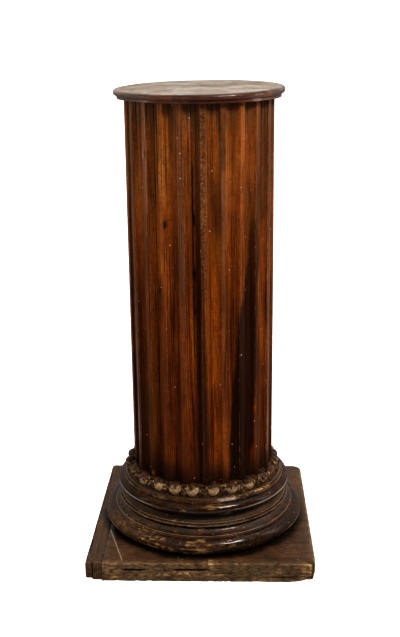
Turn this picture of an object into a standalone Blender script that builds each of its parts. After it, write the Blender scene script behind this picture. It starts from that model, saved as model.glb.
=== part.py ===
# Wooden pedestal column: a fluted shaft between a turned base on a square plinth and a round top board.
# Metres, +Z up. The origin is the middle of the plinth's underside, and the front faces -Y.

import math

import bmesh
import bpy
from mathutils import Matrix, Vector

# Overall height, and the clearance between pieces that lie against each other
TOTAL_HEIGHT = 1.000
CLEARANCE = 0.0003

# Shaft: radii over the lands between the flutes
SHAFT_FOOT_RADIUS = 0.156
SHAFT_TOP_RADIUS = 0.155
FLUTE_COUNT = 23
FLUTE_DEPTH = 0.009
LAND_WIDTH = 0.0115
FIRST_LAND_DEG = 3.7        # from the front towards +X

# Top board: overhangs past the shaft's top
TOP_THICKNESS = 0.019
TOP_OVERHANG = 0.0218
TOP_FILLET_OVERHANG = 0.0144
TOP_FILLET_HEIGHT = 0.0065
TOP_LIP_SWELL = 0.0058

# Base: each member's height, from the plinth up, and its projection past the shaft's foot
LOWER_ROLL_HEIGHT = 0.037
LOWER_ROLL_PROJECTION = 0.0665
LOWER_ROLL_SWELL = 0.018
LOWER_FILLET_HEIGHT = 0.003
LOWER_FILLET_PROJECTION = 0.0445
LOWER_HOLLOW_HEIGHT = 0.0172
LOWER_HOLLOW_DEPTH = 0.0090
WIDE_BAND_HEIGHT = 0.003
WIDE_BAND_PROJECTION = 0.0350
NARROW_BAND_HEIGHT = 0.0035
NARROW_BAND_PROJECTION = 0.0306
UPPER_HOLLOW_HEIGHT = 0.0145
UPPER_HOLLOW_DEPTH = 0.0065
UPPER_ROLL_HEIGHT = 0.030
UPPER_ROLL_PROJECTION = 0.0363
UPPER_ROLL_SWELL = 0.012
LEDGE_SLOPE_HEIGHT = 0.0065
LEDGE_PROJECTION = 0.0190
CORE_HEIGHT = 0.022
CORE_SWELL = 0.008
SEAT_MARGIN = 0.004         # flat of the seat past the shaft's foot

# Beads and darts carved round the core
BEAD_COUNT = 24
BEAD_RADIUS = 0.013
BEAD_PROJECTION = 0.0072    # bead centre past the shaft's foot
BEAD_RISE = 0.0152          # bead centre above the ledge
FIRST_BEAD_DEG = 8.8        # from the front towards +X
DART_RADIUS = 0.0045
DART_HEIGHT = 0.017
DART_PROJECTION = 0.0105

# Plinth: how far it reaches past the lower roll on each side, and its worn corners
PLINTH_THICKNESS = 0.043
PLINTH_MARGIN = 0.0175
CLEAT_WIDTH = 0.034
FRONT_LEFT_CORNER = 0.005
FRONT_RIGHT_CORNER = 0.020
BACK_RIGHT_CORNER = 0.022
BACK_LEFT_CORNER = 0.008
JOINT_CORNER = 0.001
PLINTH_EDGE_WEAR = 0.002

# Mesh resolution
TURNING_SEGMENTS = 60
ROLL_STEPS = 8
HOLLOW_STEPS = 4
LIP_STEPS = 6
CORE_STEPS = 2
FLUTE_STEPS = 6
CORNER_STEPS = 4
BEAD_SEGMENTS = 10
BEAD_RINGS = 6


def clear_scene():
    for old in list(bpy.data.objects):
        bpy.data.objects.remove(old, do_unlink=True)


# Heights and radii that several pieces share

def ledge_z():
    """Height of the flat ledge that the beads stand on."""
    lower = LOWER_ROLL_HEIGHT + LOWER_FILLET_HEIGHT + LOWER_HOLLOW_HEIGHT
    bands = WIDE_BAND_HEIGHT + NARROW_BAND_HEIGHT
    upper = UPPER_HOLLOW_HEIGHT + UPPER_ROLL_HEIGHT + LEDGE_SLOPE_HEIGHT
    return PLINTH_THICKNESS + CLEARANCE + lower + bands + upper


def seat_z():
    """Height of the flat seat that the shaft stands on."""
    return ledge_z() + CORE_HEIGHT


def plinth_half_side():
    return SHAFT_FOOT_RADIUS + LOWER_ROLL_PROJECTION + PLINTH_MARGIN


# Materials

def wood(name, color, roughness):
    """A plain wood finish."""
    material = bpy.data.materials.new(name)
    material.use_nodes = True
    shader = material.node_tree.nodes["Principled BSDF"]
    shader.inputs["Base Color"].default_value = (*color, 1.0)
    shader.inputs["Roughness"].default_value = roughness
    shader.inputs["Metallic"].default_value = 0.0
    return material


# Meshes

def add_object(name, bm, material=None, sharp_deg=35.0):
    """Turn a bmesh into a named object with outward faces and smooth shading between sharp edges."""
    bmesh.ops.recalc_face_normals(bm, faces=bm.faces)
    mesh = bpy.data.meshes.new(name)
    bm.to_mesh(mesh)
    bm.free()
    mesh.shade_smooth()
    mesh.set_sharp_from_angle(angle=math.radians(sharp_deg))
    if material:
        mesh.materials.append(material)
    made = bpy.data.objects.new(name, mesh)
    bpy.context.scene.collection.objects.link(made)
    return made


def spin_profile(profile):
    """Turn an open profile of (radius, z) points about Z, and close both ends with flat faces."""
    bm = bmesh.new()
    verts = [bm.verts.new((radius, 0.0, z)) for radius, z in profile]
    edges = [bm.edges.new(pair) for pair in zip(verts, verts[1:])]
    bmesh.ops.spin(bm, geom=verts + edges, cent=(0, 0, 0), axis=(0, 0, 1), angle=math.tau,
                   steps=TURNING_SEGMENTS, use_merge=True)
    bmesh.ops.remove_doubles(bm, verts=bm.verts, dist=0.00001)
    bmesh.ops.holes_fill(bm, edges=[edge for edge in bm.edges if edge.is_boundary], sides=0)
    return bm


def extrude_outline(outline, low_z, high_z, top_scale=1.0):
    """Raise a flat outline of (x, y) points from low_z to high_z, scaling its top about Z."""
    bm = bmesh.new()
    face = bm.faces.new([bm.verts.new((x, y, low_z)) for x, y in outline])
    raised = bmesh.ops.extrude_face_region(bm, geom=[face])
    for vert in raised["geom"]:
        if isinstance(vert, bmesh.types.BMVert):
            vert.co = Vector((vert.co.x * top_scale, vert.co.y * top_scale, high_z))
    return bm


def roll(foot_radius, low_z, swell, height, steps):
    """Half an ellipse that swells out from foot_radius between low_z and low_z + height."""
    points = []
    for step in range(steps + 1):
        turn = math.pi * step / steps
        points.append((foot_radius + swell * math.sin(turn), low_z + height * (1 - math.cos(turn)) / 2))
    return points


def hollow(low_radius, high_radius, low_z, height, depth, steps):
    """A hollow between two radii, depth deeper at its middle than the straight line between them."""
    points = []
    for step in range(steps + 1):
        share = step / steps
        radius = low_radius + (high_radius - low_radius) * share - depth * math.sin(math.pi * share)
        points.append((radius, low_z + height * share))
    return points


# Base moulding

def base_profile():
    """The turned outline from the base's underside up to the seat, member by member."""
    foot = SHAFT_FOOT_RADIUS
    z = PLINTH_THICKNESS + CLEARANCE
    points = roll(foot + LOWER_ROLL_PROJECTION - LOWER_ROLL_SWELL, z, LOWER_ROLL_SWELL, LOWER_ROLL_HEIGHT, ROLL_STEPS)
    z += LOWER_ROLL_HEIGHT
    points.append((foot + LOWER_FILLET_PROJECTION, z))
    z += LOWER_FILLET_HEIGHT
    points += hollow(foot + LOWER_FILLET_PROJECTION, foot + WIDE_BAND_PROJECTION, z, LOWER_HOLLOW_HEIGHT,
                     LOWER_HOLLOW_DEPTH, HOLLOW_STEPS)
    z += LOWER_HOLLOW_HEIGHT + WIDE_BAND_HEIGHT
    points.append((foot + WIDE_BAND_PROJECTION, z))
    points.append((foot + NARROW_BAND_PROJECTION, z))
    z += NARROW_BAND_HEIGHT
    upper_foot = foot + UPPER_ROLL_PROJECTION - UPPER_ROLL_SWELL
    points += hollow(foot + NARROW_BAND_PROJECTION, upper_foot, z, UPPER_HOLLOW_HEIGHT,
                     UPPER_HOLLOW_DEPTH, HOLLOW_STEPS)
    z += UPPER_HOLLOW_HEIGHT
    points += roll(upper_foot, z, UPPER_ROLL_SWELL, UPPER_ROLL_HEIGHT, ROLL_STEPS)[1:]
    points.append((foot + LEDGE_PROJECTION, ledge_z()))
    points += roll(foot + SEAT_MARGIN, ledge_z(), CORE_SWELL, CORE_HEIGHT, CORE_STEPS)
    return points


def around(angle_deg, radius, z):
    """Place at an angle from the front towards +X, turned so that its own -Y faces outwards."""
    return Matrix.Rotation(math.radians(angle_deg), 4, "Z") @ Matrix.Translation((0.0, -radius, z))


def make_bead_row():
    """The row of beads with a dart between each two, before the base takes them in."""
    bm = bmesh.new()
    pitch = 360.0 / BEAD_COUNT
    bead_z = ledge_z() + BEAD_RISE
    for bead in range(BEAD_COUNT):
        angle = FIRST_BEAD_DEG + pitch * bead
        bmesh.ops.create_uvsphere(bm, u_segments=BEAD_SEGMENTS, v_segments=BEAD_RINGS, radius=BEAD_RADIUS,
                                  matrix=around(angle, SHAFT_FOOT_RADIUS + BEAD_PROJECTION, bead_z))
        place = around(angle + pitch / 2, SHAFT_FOOT_RADIUS + DART_PROJECTION, ledge_z() + DART_HEIGHT / 2)
        bmesh.ops.create_cone(bm, cap_ends=True, segments=4, radius1=0.0, radius2=DART_RADIUS,
                              depth=DART_HEIGHT, matrix=place)
    bmesh.ops.remove_doubles(bm, verts=bm.verts, dist=0.00001)
    return add_object("bead_row_guide", bm)


def make_shaft_room():
    """A cylinder that keeps the beads clear of the shaft, from just under the seat up past the beads."""
    low = seat_z() - CORE_HEIGHT / 8
    high = ledge_z() + BEAD_RISE + 2 * BEAD_RADIUS
    bm = bmesh.new()
    bmesh.ops.create_cone(bm, cap_ends=True, segments=TURNING_SEGMENTS, radius1=SHAFT_FOOT_RADIUS + CLEARANCE,
                          radius2=SHAFT_FOOT_RADIUS + CLEARANCE, depth=high - low,
                          matrix=Matrix.Translation((0, 0, (low + high) / 2)))
    return add_object("shaft_room_guide", bm)


def combine(target, tool, operation):
    """Add a Boolean modifier to target and keep the tool as a wire guide."""
    modifier = target.modifiers.new(operation.lower(), "BOOLEAN")
    modifier.operation = operation
    modifier.object = tool
    modifier.solver = "EXACT"
    tool.hide_render = True
    tool.display_type = "WIRE"


def make_base():
    material = wood("base_wood", (0.085, 0.045, 0.026), 0.38)
    base = add_object("base_moulding", spin_profile(base_profile()), material)
    bead_row = make_bead_row()
    combine(bead_row, make_shaft_room(), "DIFFERENCE")
    combine(base, bead_row, "UNION")


# Shaft

def flute_outline(radius):
    """The shaft's section: narrow lands, with a circular arc cut FLUTE_DEPTH deep between each two."""
    pitch = math.tau / FLUTE_COUNT
    half_land = math.asin(LAND_WIDTH / 2 / radius)
    half_flute = pitch / 2 - half_land
    half_chord = radius * math.sin(half_flute)
    chord_distance = radius * math.cos(half_flute)
    arc_radius = (half_chord ** 2 + FLUTE_DEPTH ** 2) / (2 * FLUTE_DEPTH)
    half_arc = 2 * math.atan(FLUTE_DEPTH / half_chord)
    points = []
    for flute in range(FLUTE_COUNT):
        middle = math.radians(FIRST_LAND_DEG) + pitch * (flute + 0.5)
        outward = Vector((math.sin(middle), -math.cos(middle)))
        along = Vector((math.cos(middle), math.sin(middle)))
        for step in range(FLUTE_STEPS + 1):
            turn = half_arc * (2 * step / FLUTE_STEPS - 1)
            depth = arc_radius * math.cos(turn) - (arc_radius - FLUTE_DEPTH)
            place = outward * (chord_distance - depth) + along * arc_radius * math.sin(turn)
            points.append((place.x, place.y))
    return points


def make_shaft():
    low = seat_z() + CLEARANCE
    high = TOTAL_HEIGHT - TOP_THICKNESS - CLEARANCE
    shape = extrude_outline(flute_outline(SHAFT_FOOT_RADIUS), low, high, SHAFT_TOP_RADIUS / SHAFT_FOOT_RADIUS)
    add_object("fluted_shaft", shape, wood("shaft_wood", (0.185, 0.062, 0.022), 0.36))


# Top board

def top_profile():
    """From the underside's rim up the fillet and round the lip to the top face's rim."""
    under = TOTAL_HEIGHT - TOP_THICKNESS
    lip_low = under + TOP_FILLET_HEIGHT
    fillet = SHAFT_TOP_RADIUS + TOP_FILLET_OVERHANG
    lip_foot = SHAFT_TOP_RADIUS + TOP_OVERHANG - TOP_LIP_SWELL
    points = [(fillet, under), (fillet, lip_low)]
    return points + roll(lip_foot, lip_low, TOP_LIP_SWELL, TOP_THICKNESS - TOP_FILLET_HEIGHT, LIP_STEPS)


def make_top():
    add_object("top_board", spin_profile(top_profile()), wood("top_wood", (0.29, 0.21, 0.155), 0.55))


# Plinth

def rounded_outline(low_x, high_x, half_depth, corners):
    """A rectangle with its own corner radii: front left, front right, back right, back left."""
    places = ((low_x, -half_depth, 1, 1), (high_x, -half_depth, -1, 1),
              (high_x, half_depth, -1, -1), (low_x, half_depth, 1, -1))
    points = []
    for turn, ((x, y, inward_x, inward_y), radius) in enumerate(zip(places, corners)):
        middle = Vector((x + inward_x * radius, y + inward_y * radius))
        for step in range(CORNER_STEPS + 1):
            angle = math.pi + math.pi / 2 * (turn + step / CORNER_STEPS)
            points.append((middle.x + radius * math.cos(angle), middle.y + radius * math.sin(angle)))
    return points


def make_plinth_piece(name, low_x, high_x, corners, material):
    """One board of the plinth, with its long edges worn round."""
    outline = rounded_outline(low_x, high_x, plinth_half_side(), corners)
    piece = add_object(name, extrude_outline(outline, 0.0, PLINTH_THICKNESS), material)
    wear = piece.modifiers.new("worn edges", "BEVEL")
    wear.width = PLINTH_EDGE_WEAR
    wear.segments = 2
    wear.limit_method = "ANGLE"
    wear.angle_limit = math.radians(60)


def make_plinth():
    half = plinth_half_side()
    joint = -half + CLEAT_WIDTH
    make_plinth_piece("plinth_board", joint + CLEARANCE, half,
                      (JOINT_CORNER, FRONT_RIGHT_CORNER, BACK_RIGHT_CORNER, JOINT_CORNER),
                      wood("plinth_wood", (0.095, 0.055, 0.032), 0.6))
    make_plinth_piece("plinth_cleat", -half, joint,
                      (FRONT_LEFT_CORNER, JOINT_CORNER, JOINT_CORNER, BACK_LEFT_CORNER),
                      wood("cleat_wood", (0.075, 0.044, 0.028), 0.65))


clear_scene()
make_plinth()
make_base()
make_shaft()
make_top()
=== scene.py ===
# The looks of the fluted column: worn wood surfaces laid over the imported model, studio light and the camera.

import math

import bpy
import numpy as np
from mathutils import Matrix, Vector


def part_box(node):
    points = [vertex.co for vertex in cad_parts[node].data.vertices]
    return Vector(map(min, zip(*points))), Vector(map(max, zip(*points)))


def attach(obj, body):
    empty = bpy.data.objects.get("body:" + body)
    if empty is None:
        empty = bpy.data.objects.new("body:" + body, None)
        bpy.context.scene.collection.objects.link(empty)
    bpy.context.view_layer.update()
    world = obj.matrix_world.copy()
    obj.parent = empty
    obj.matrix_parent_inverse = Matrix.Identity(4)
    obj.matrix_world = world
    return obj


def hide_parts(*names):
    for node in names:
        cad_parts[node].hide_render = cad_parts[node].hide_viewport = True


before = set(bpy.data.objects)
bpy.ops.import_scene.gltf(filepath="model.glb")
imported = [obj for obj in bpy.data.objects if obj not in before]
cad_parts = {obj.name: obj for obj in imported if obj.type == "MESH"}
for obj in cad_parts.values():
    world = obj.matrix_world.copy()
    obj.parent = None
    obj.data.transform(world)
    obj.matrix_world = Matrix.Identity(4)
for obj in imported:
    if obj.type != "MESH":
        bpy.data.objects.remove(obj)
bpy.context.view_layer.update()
print("frame loaded:", sorted(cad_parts))


# Shapes

def softNoise(u, v, cellsU, cellsV, seed):
    # Random numbers on a grid, blended with 3t^2 - 2t^3; u wraps at 1, v runs 0 to 1, the result -1 to 1
    lattice = np.random.default_rng(seed).uniform(-1.0, 1.0, (cellsU, cellsV + 2))
    a = (u % 1.0) * cellsU
    b = np.clip(v, 0.0, 1.0) * cellsV
    column = np.floor(a).astype(int) % cellsU
    row = np.floor(b).astype(int)
    a = a - np.floor(a)
    b = b - row
    a = a * a * (3 - 2 * a)
    b = b * b * (3 - 2 * b)
    nextColumn = (column + 1) % cellsU
    low = lattice[column, row] * (1 - a) + lattice[nextColumn, row] * a
    high = lattice[column, row + 1] * (1 - a) + lattice[nextColumn, row + 1] * a
    return low * (1 - b) + high * b


def unit(value):
    return np.clip(value, 0.0, 1.0)


def step(low, high, value):
    # 0 below low, 1 above high, and 3t^2 - 2t^3 between them
    t = unit((value - low) / (high - low))
    return t * t * (3 - 2 * t)


def bump(value, middle, halfWidth):
    # A hill of height 1 at middle, down to 0 at halfWidth on both sides
    return 1.0 - step(0.0, 1.0, np.abs(value - middle) / halfWidth)


def arcGap(angle, middle):
    # The angle in degrees from middle, between -180 and 180
    return (angle - middle + 180.0) % 360.0 - 180.0


def hill(angle, middle, halfWidth):
    # The same hill round the axis, for the columns of a grid
    return bump(arcGap(angle, middle), 0.0, halfWidth)[None, :]


def gridRound(rows, columns):
    # The angle of each column in degrees, and u round the axis and v up the rows, both 0 to 1
    angle = np.linspace(0.0, 360.0, columns, endpoint=False)
    return angle, (angle / 360.0)[None, :], np.linspace(0.0, 1.0, rows)[:, None]


def roundTheAxis(angle, radius, z):
    # (r sin a, -r cos a, z): the angle runs from the front towards +X
    turn = np.radians(angle)[None, :]
    return np.stack(np.broadcast_arrays(radius * np.sin(turn), -radius * np.cos(turn), z), axis=-1)


def turnedRound(angle, profile, normal, push):
    # A profile carried round the axis, with each point pushed out along its normal
    return roundTheAxis(angle, profile[:, :1] + normal[:, :1] * push, profile[:, 1:] + normal[:, 1:] * push)


def makeMesh(name, points, quads, triangles, masks):
    # Points, faces and one float attribute for each mask, put in as whole arrays
    mesh = bpy.data.meshes.new(name)
    mesh.vertices.add(len(points))
    mesh.vertices.foreach_set("co", points.astype(np.float32).ravel())
    corners = np.concatenate([quads.ravel(), triangles.ravel()]).astype(np.int32)
    sizes = np.concatenate([np.full(len(quads), 4), np.full(len(triangles), 3)])
    starts = np.concatenate([[0], np.cumsum(sizes)[:-1]]).astype(np.int32)
    mesh.loops.add(len(corners))
    mesh.loops.foreach_set("vertex_index", corners)
    mesh.polygons.add(len(sizes))
    mesh.polygons.foreach_set("loop_start", starts)
    mesh.update(calc_edges=True)
    for label, values in masks.items():
        layer = mesh.attributes.new(label, "FLOAT", "POINT")
        layer.data.foreach_set("value", values.astype(np.float32).ravel())
    mesh.shade_smooth()
    made = bpy.data.objects.new(name, mesh)
    bpy.context.scene.collection.objects.link(made)
    return made


def withPoles(values):
    # Each grid of a stack as a list, followed by the mean of its first row and of its last row
    copies, rows, columns = values.shape[:3]
    ends = np.stack([values[:, 0].mean(axis=1), values[:, -1].mean(axis=1)], axis=1)
    return np.concatenate([values.reshape(copies, rows * columns, -1), ends.reshape(copies, 2, -1)], axis=1)


def manyRings(name, grids, masks):
    # Closed shapes in one mesh, copies x rows x columns x 3: each has rows of closed rings from the underside
    # to the top, joined by quads, with a fan of triangles at each pole
    shape = copies, rows, columns = grids.shape[:3]
    index = np.arange(rows * columns).reshape(rows, columns)
    ahead = np.roll(index, -1, axis=1)
    quads = np.stack([index[:-1], ahead[:-1], ahead[1:], index[1:]], axis=-1).reshape(-1, 4)
    below = np.stack([np.full(columns, rows * columns), ahead[0], index[0]], axis=-1)
    above = np.stack([np.full(columns, rows * columns + 1), index[-1], ahead[-1]], axis=-1)
    shift = (np.arange(copies) * (rows * columns + 2))[:, None, None]
    quads = (quads[None] + shift).reshape(-1, 4)
    fans = (np.concatenate([below, above])[None] + shift).reshape(-1, 3)
    spread = {label: withPoles(np.broadcast_to(values, shape)) for label, values in masks.items()}
    return makeMesh(name, withPoles(grids).reshape(-1, 3), quads, fans, spread)


def closedRings(name, rings, masks, sharpAngle=60.0):
    # One such shape, whose edges look sharp where its faces meet at more than that angle
    made = manyRings(name, rings[None], masks)
    made.data.set_sharp_from_angle(angle=math.radians(sharpAngle))
    return made


def withFlatEnds(rings, masks, under, over):
    # One more ring at each end, shrunk to a share of the first and of the last, so that the poles lie in
    # flat ends
    ends = rings[:1] * np.array([under, under, 1.0]), rings[-1:] * np.array([over, over, 1.0])
    masks = {label: np.broadcast_to(values, rings.shape[:2]) for label, values in masks.items()}
    masks = {label: np.concatenate([values[:1], values, values[-1:]]) for label, values in masks.items()}
    return np.concatenate([ends[0], rings, ends[1]]), masks


def rollCurve(foot, low, swell, height, steps=60):
    # Half an ellipse: r = foot + swell sin t, z = low + height (1 - cos t) / 2
    t = np.linspace(0.0, np.pi, steps)
    return np.stack([foot + swell * np.sin(t), low + height * (1 - np.cos(t)) / 2], axis=-1)


def hollowCurve(lowRadius, highRadius, low, height, depth, steps=40):
    # A straight line between two radii, hollowed by depth sin(pi t)
    t = np.linspace(0.0, 1.0, steps)
    radius = lowRadius + (highRadius - lowRadius) * t - depth * np.sin(np.pi * t)
    return np.stack([radius, low + height * t], axis=-1)


def walked(line):
    # The length walked up to each point of a line
    return np.concatenate([[0.0], np.cumsum(np.hypot(*np.diff(line, axis=0).T))])


def pointsAt(places, walk, line):
    # The points of a line at the given lengths
    return np.stack([np.interp(places, walk, line[:, 0]), np.interp(places, walk, line[:, 1])], axis=-1)


def outward(along):
    return np.stack([along[:, 1], -along[:, 0]], axis=-1)


def directions(line):
    # The unit vector along a line at each of its points
    along = np.gradient(line, axis=0)
    return along / np.maximum(np.hypot(along[:, 0], along[:, 1]), 1e-9)[:, None]


def averaged(line, bell):
    # A line averaged under a bell curve, with its ends held
    reach = len(bell) // 2
    padded = np.concatenate([np.repeat(line[:1], reach, axis=0), line, np.repeat(line[-1:], reach, axis=0)])
    return np.stack([np.convolve(padded[:, k], bell / bell.sum(), mode="valid") for k in range(2)], axis=-1)


def smoothedProfile(parts, rows, rounding, crowding, broadReach=0.014):
    # Joins the parts, walks them in even steps, rounds the corners by a bell curve of that width in metres,
    # then spaces the rows closer where the outline turns. Returns points, outward normals, the turning, and
    # how far each point lies behind the outline averaged over a broad reach, where dirt settles and shade is
    # painted.
    line = np.concatenate(parts)
    length = walked(line)
    fine = np.linspace(0.0, length[-1], 4000)
    line = pointsAt(fine, length, line)
    reach = max(1, int(round(3 * rounding / fine[1])))
    line = averaged(line, np.exp(-0.5 * (np.arange(-reach, reach + 1) * fine[1] / rounding) ** 2))
    reach = int(broadReach / fine[1])
    gap = averaged(line, np.exp(-0.5 * (np.arange(-2 * reach, 2 * reach + 1) / reach * 2) ** 2)) - line
    along = directions(line)
    behind = (gap * outward(along)).sum(axis=1)
    turning = np.gradient(np.unwrap(np.arctan2(along[:, 1], along[:, 0]))) / fine[1]
    weight = np.cumsum(1.0 + crowding * np.minimum(np.abs(turning), 1500.0))
    pick = np.interp(np.linspace(weight[0], weight[-1], rows), weight, fine)
    normal = outward(pointsAt(pick, fine, along))
    return pointsAt(pick, fine, line), normal, np.interp(pick, fine, turning), np.interp(pick, fine, behind)


# Shader tools

def setSocket(tree, socket, value):
    if isinstance(value, bpy.types.NodeSocket):
        tree.links.new(value, socket)
    else:
        socket.default_value = value


def addNode(tree, kind, inputs=None, **settings):
    made = tree.nodes.new("ShaderNode" + kind)
    for name, value in settings.items():
        setattr(made, name, value)
    for name, value in (inputs or {}).items():
        setSocket(tree, made.inputs[name], value)
    return made


def maths(tree, operation, first, second=0.0, clamp=False):
    return addNode(tree, "Math", {0: first, 1: second}, operation=operation, use_clamp=clamp).outputs[0]


def times(tree, first, second, clamp=False):
    return maths(tree, "MULTIPLY", first, second, clamp)


def plus(tree, first, second, clamp=False):
    return maths(tree, "ADD", first, second, clamp)


def minus(tree, first, second):
    return maths(tree, "SUBTRACT", first, second)


def larger(tree, first, second):
    return maths(tree, "MAXIMUM", first, second)


def remap(tree, value, low, high, newLow=0.0, newHigh=1.0):
    inputs = {"Value": value, "From Min": low, "From Max": high, "To Min": newLow, "To Max": newHigh}
    return addNode(tree, "MapRange", inputs, interpolation_type="SMOOTHSTEP").outputs[0]


def mixColors(tree, share, first, second):
    made = addNode(tree, "Mix", data_type="RGBA")
    for place, value in ((0, share), (6, first), (7, second)):
        setSocket(tree, made.inputs[place], (*value, 1.0) if isinstance(value, tuple) else value)
    return made.outputs[2]


def layered(tree, color, *layers):
    # Lays colours over a first one in turn; each layer is (colour, share, amount)
    for over, share, amount in layers:
        color = mixColors(tree, times(tree, share, amount), color, over)
    return color


def colorRamp(tree, value, *stops):
    # Each stop is (place, red, green, blue)
    made = addNode(tree, "ValToRGB", {"Fac": value})
    elements = made.color_ramp.elements
    while len(elements) < len(stops):
        elements.new(0.5)
    for element, (place, *color) in zip(elements, stops):
        element.position = place
        element.color = (*color, 1.0)
    return made.outputs["Color"]


def noise(tree, place, scale, detail=3.0, roughness=0.55, distortion=0.0):
    inputs = {"Vector": place, "Scale": scale, "Detail": detail, "Roughness": roughness,
              "Distortion": distortion}
    return addNode(tree, "TexNoise", inputs).outputs[0]


def mask(tree, name):
    return addNode(tree, "Attribute", attribute_name=name).outputs["Fac"]


def drawnOut(tree, place, share):
    # Patterns on this place are drawn out along Z
    return addNode(tree, "Mapping", {"Vector": place, "Scale": (1.0, 1.0, share)}).outputs[0]


def turned(tree, place, *degrees):
    return addNode(tree, "Mapping", {"Vector": place, "Rotation": np.radians(degrees)}).outputs[0]


def startGroup(name, inputs, outputs):
    # A node group: a Place and named numbers come in, named numbers go out
    group = bpy.data.node_groups.new(name, "ShaderNodeTree")
    group.interface.new_socket("Place", in_out="INPUT", socket_type="NodeSocketVector")
    for socket, default in inputs.items():
        made = group.interface.new_socket(socket, in_out="INPUT", socket_type="NodeSocketFloat")
        made.default_value = default
    for socket in outputs:
        group.interface.new_socket(socket, in_out="OUTPUT", socket_type="NodeSocketFloat")
    return group, group.nodes.new("NodeGroupInput").outputs, group.nodes.new("NodeGroupOutput").inputs


def useGroup(tree, group, **inputs):
    made = tree.nodes.new("ShaderNodeGroup")
    made.node_tree = group
    for name, value in inputs.items():
        setSocket(tree, made.inputs[name], value)
    return made.outputs


def makeGrainGroup():
    # Broad streaks and fine fibres drawn out along Z of the place that comes in
    group, given, result = startGroup("woodGrain", {"Scale": 60.0}, ("Streaks", "Fibres"))
    streaks = noise(group, drawnOut(group, given["Place"], 0.035), given["Scale"], 5.0, 0.6, 0.6)
    finer = times(group, given["Scale"], 11.0)
    fibres = noise(group, drawnOut(group, given["Place"], 0.016), finer, 3.0, 0.6)
    group.links.new(remap(group, streaks, 0.3, 0.7), result["Streaks"])
    group.links.new(remap(group, fibres, 0.32, 0.68), result["Fibres"])
    return group


def makeGrimeGroup():
    # Uneven dirt: broad clouds broken by small ones, where Amount sets how much is covered
    group, given, result = startGroup("grime", {"Scale": 30.0, "Amount": 0.5}, ("Cover",))
    clouds = noise(group, given["Place"], given["Scale"], 4.0, 0.65)
    small = noise(group, given["Place"], times(group, given["Scale"], 9.0), 3.0, 0.7)
    both = plus(group, times(group, clouds, 0.65), times(group, small, 0.35))
    low = plus(group, times(group, minus(group, 1.0, given["Amount"]), 0.5), 0.2)
    group.links.new(remap(group, both, low, plus(group, low, 0.16)), result["Cover"])
    return group


def makeEdgeGroup():
    # Rubbed edges: the Edge mask broken up, so that some stretches are bare and others are whole
    group, given, result = startGroup("rubbedEdge", {"Edge": 0.0, "Amount": 0.6}, ("Rubbed",))
    broken = minus(group, noise(group, given["Place"], 55.0, 4.0, 0.7), 0.5)
    level = minus(group, 1.15, given["Amount"])
    uneven = plus(group, given["Edge"], times(group, broken, 1.5))
    rubbed = remap(group, uneven, level, plus(group, level, 0.3))
    edge = maths(group, "MINIMUM", given["Edge"], 1.0)
    group.links.new(times(group, rubbed, edge, clamp=True), result["Rubbed"])
    return group


def makeSpeckGroup():
    # Small scattered specks: only the few cells whose random number is high show their middle
    group, given, result = startGroup("specks", {"Scale": 120.0, "Share": 0.03}, ("Specks",))
    cells = addNode(group, "TexVoronoi", {"Vector": given["Place"], "Scale": given["Scale"]}).outputs
    number = addNode(group, "SeparateColor", {"Color": cells["Color"]}).outputs[0]
    chosen = maths(group, "GREATER_THAN", number, minus(group, 1.0, given["Share"]))
    inside = remap(group, cells["Distance"], 0.16, 0.3, 1.0, 0.0)
    group.links.new(times(group, chosen, inside), result["Specks"])
    return group


def stroke(tree, apart, start, end, halfWidth, soft):
    # A straight mark on a level face: the distance from its line is |w x s|, and w . s has to lie within
    # its length
    run = math.hypot(end[0] - start[0], end[1] - start[1])
    alongX, alongY = (end[0] - start[0]) / run, (end[1] - start[1]) / run
    awayX = minus(tree, apart["X"], start[0])
    awayY = minus(tree, apart["Y"], start[1])
    passed = plus(tree, times(tree, awayX, alongX), times(tree, awayY, alongY))
    aside = minus(tree, times(tree, awayX, alongY), times(tree, awayY, alongX))
    past = minus(tree, maths(tree, "ABSOLUTE", minus(tree, passed, run / 2)), run / 2)
    away = larger(tree, maths(tree, "ABSOLUTE", aside), past)
    return remap(tree, away, halfWidth, halfWidth + soft, 1.0, 0.0)


grainGroup = makeGrainGroup()
grimeGroup = makeGrimeGroup()
edgeGroup = makeEdgeGroup()
speckGroup = makeSpeckGroup()


def startMaterial(name, **values):
    # Fixed values go on the shader's own sockets
    material = bpy.data.materials.new(name)
    material.use_nodes = True
    tree = material.node_tree
    shader = tree.nodes["Principled BSDF"]
    shader.inputs["Specular Tint"].default_value = (1.0, 0.84, 0.70, 1.0)
    for socket, value in values.items():
        shader.inputs[socket.replace("_", " ")].default_value = value
    return material, tree, shader, addNode(tree, "TexCoord").outputs["Object"]


def joinShader(tree, shader, height, strength, distance, **values):
    # What varies over the surface goes to its socket, and the height to a Bump node
    for socket, value in values.items():
        tree.links.new(value, shader.inputs[socket.replace("_", " ")])
    relief = addNode(tree, "Bump", {"Height": height, "Strength": strength, "Distance": distance})
    tree.links.new(relief.outputs[0], shader.inputs["Normal"])


def dress(piece, material, slot, *nodes):
    piece.data.materials.append(material)
    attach(piece, "root")
    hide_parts(*nodes)


# Fluted shaft

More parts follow.
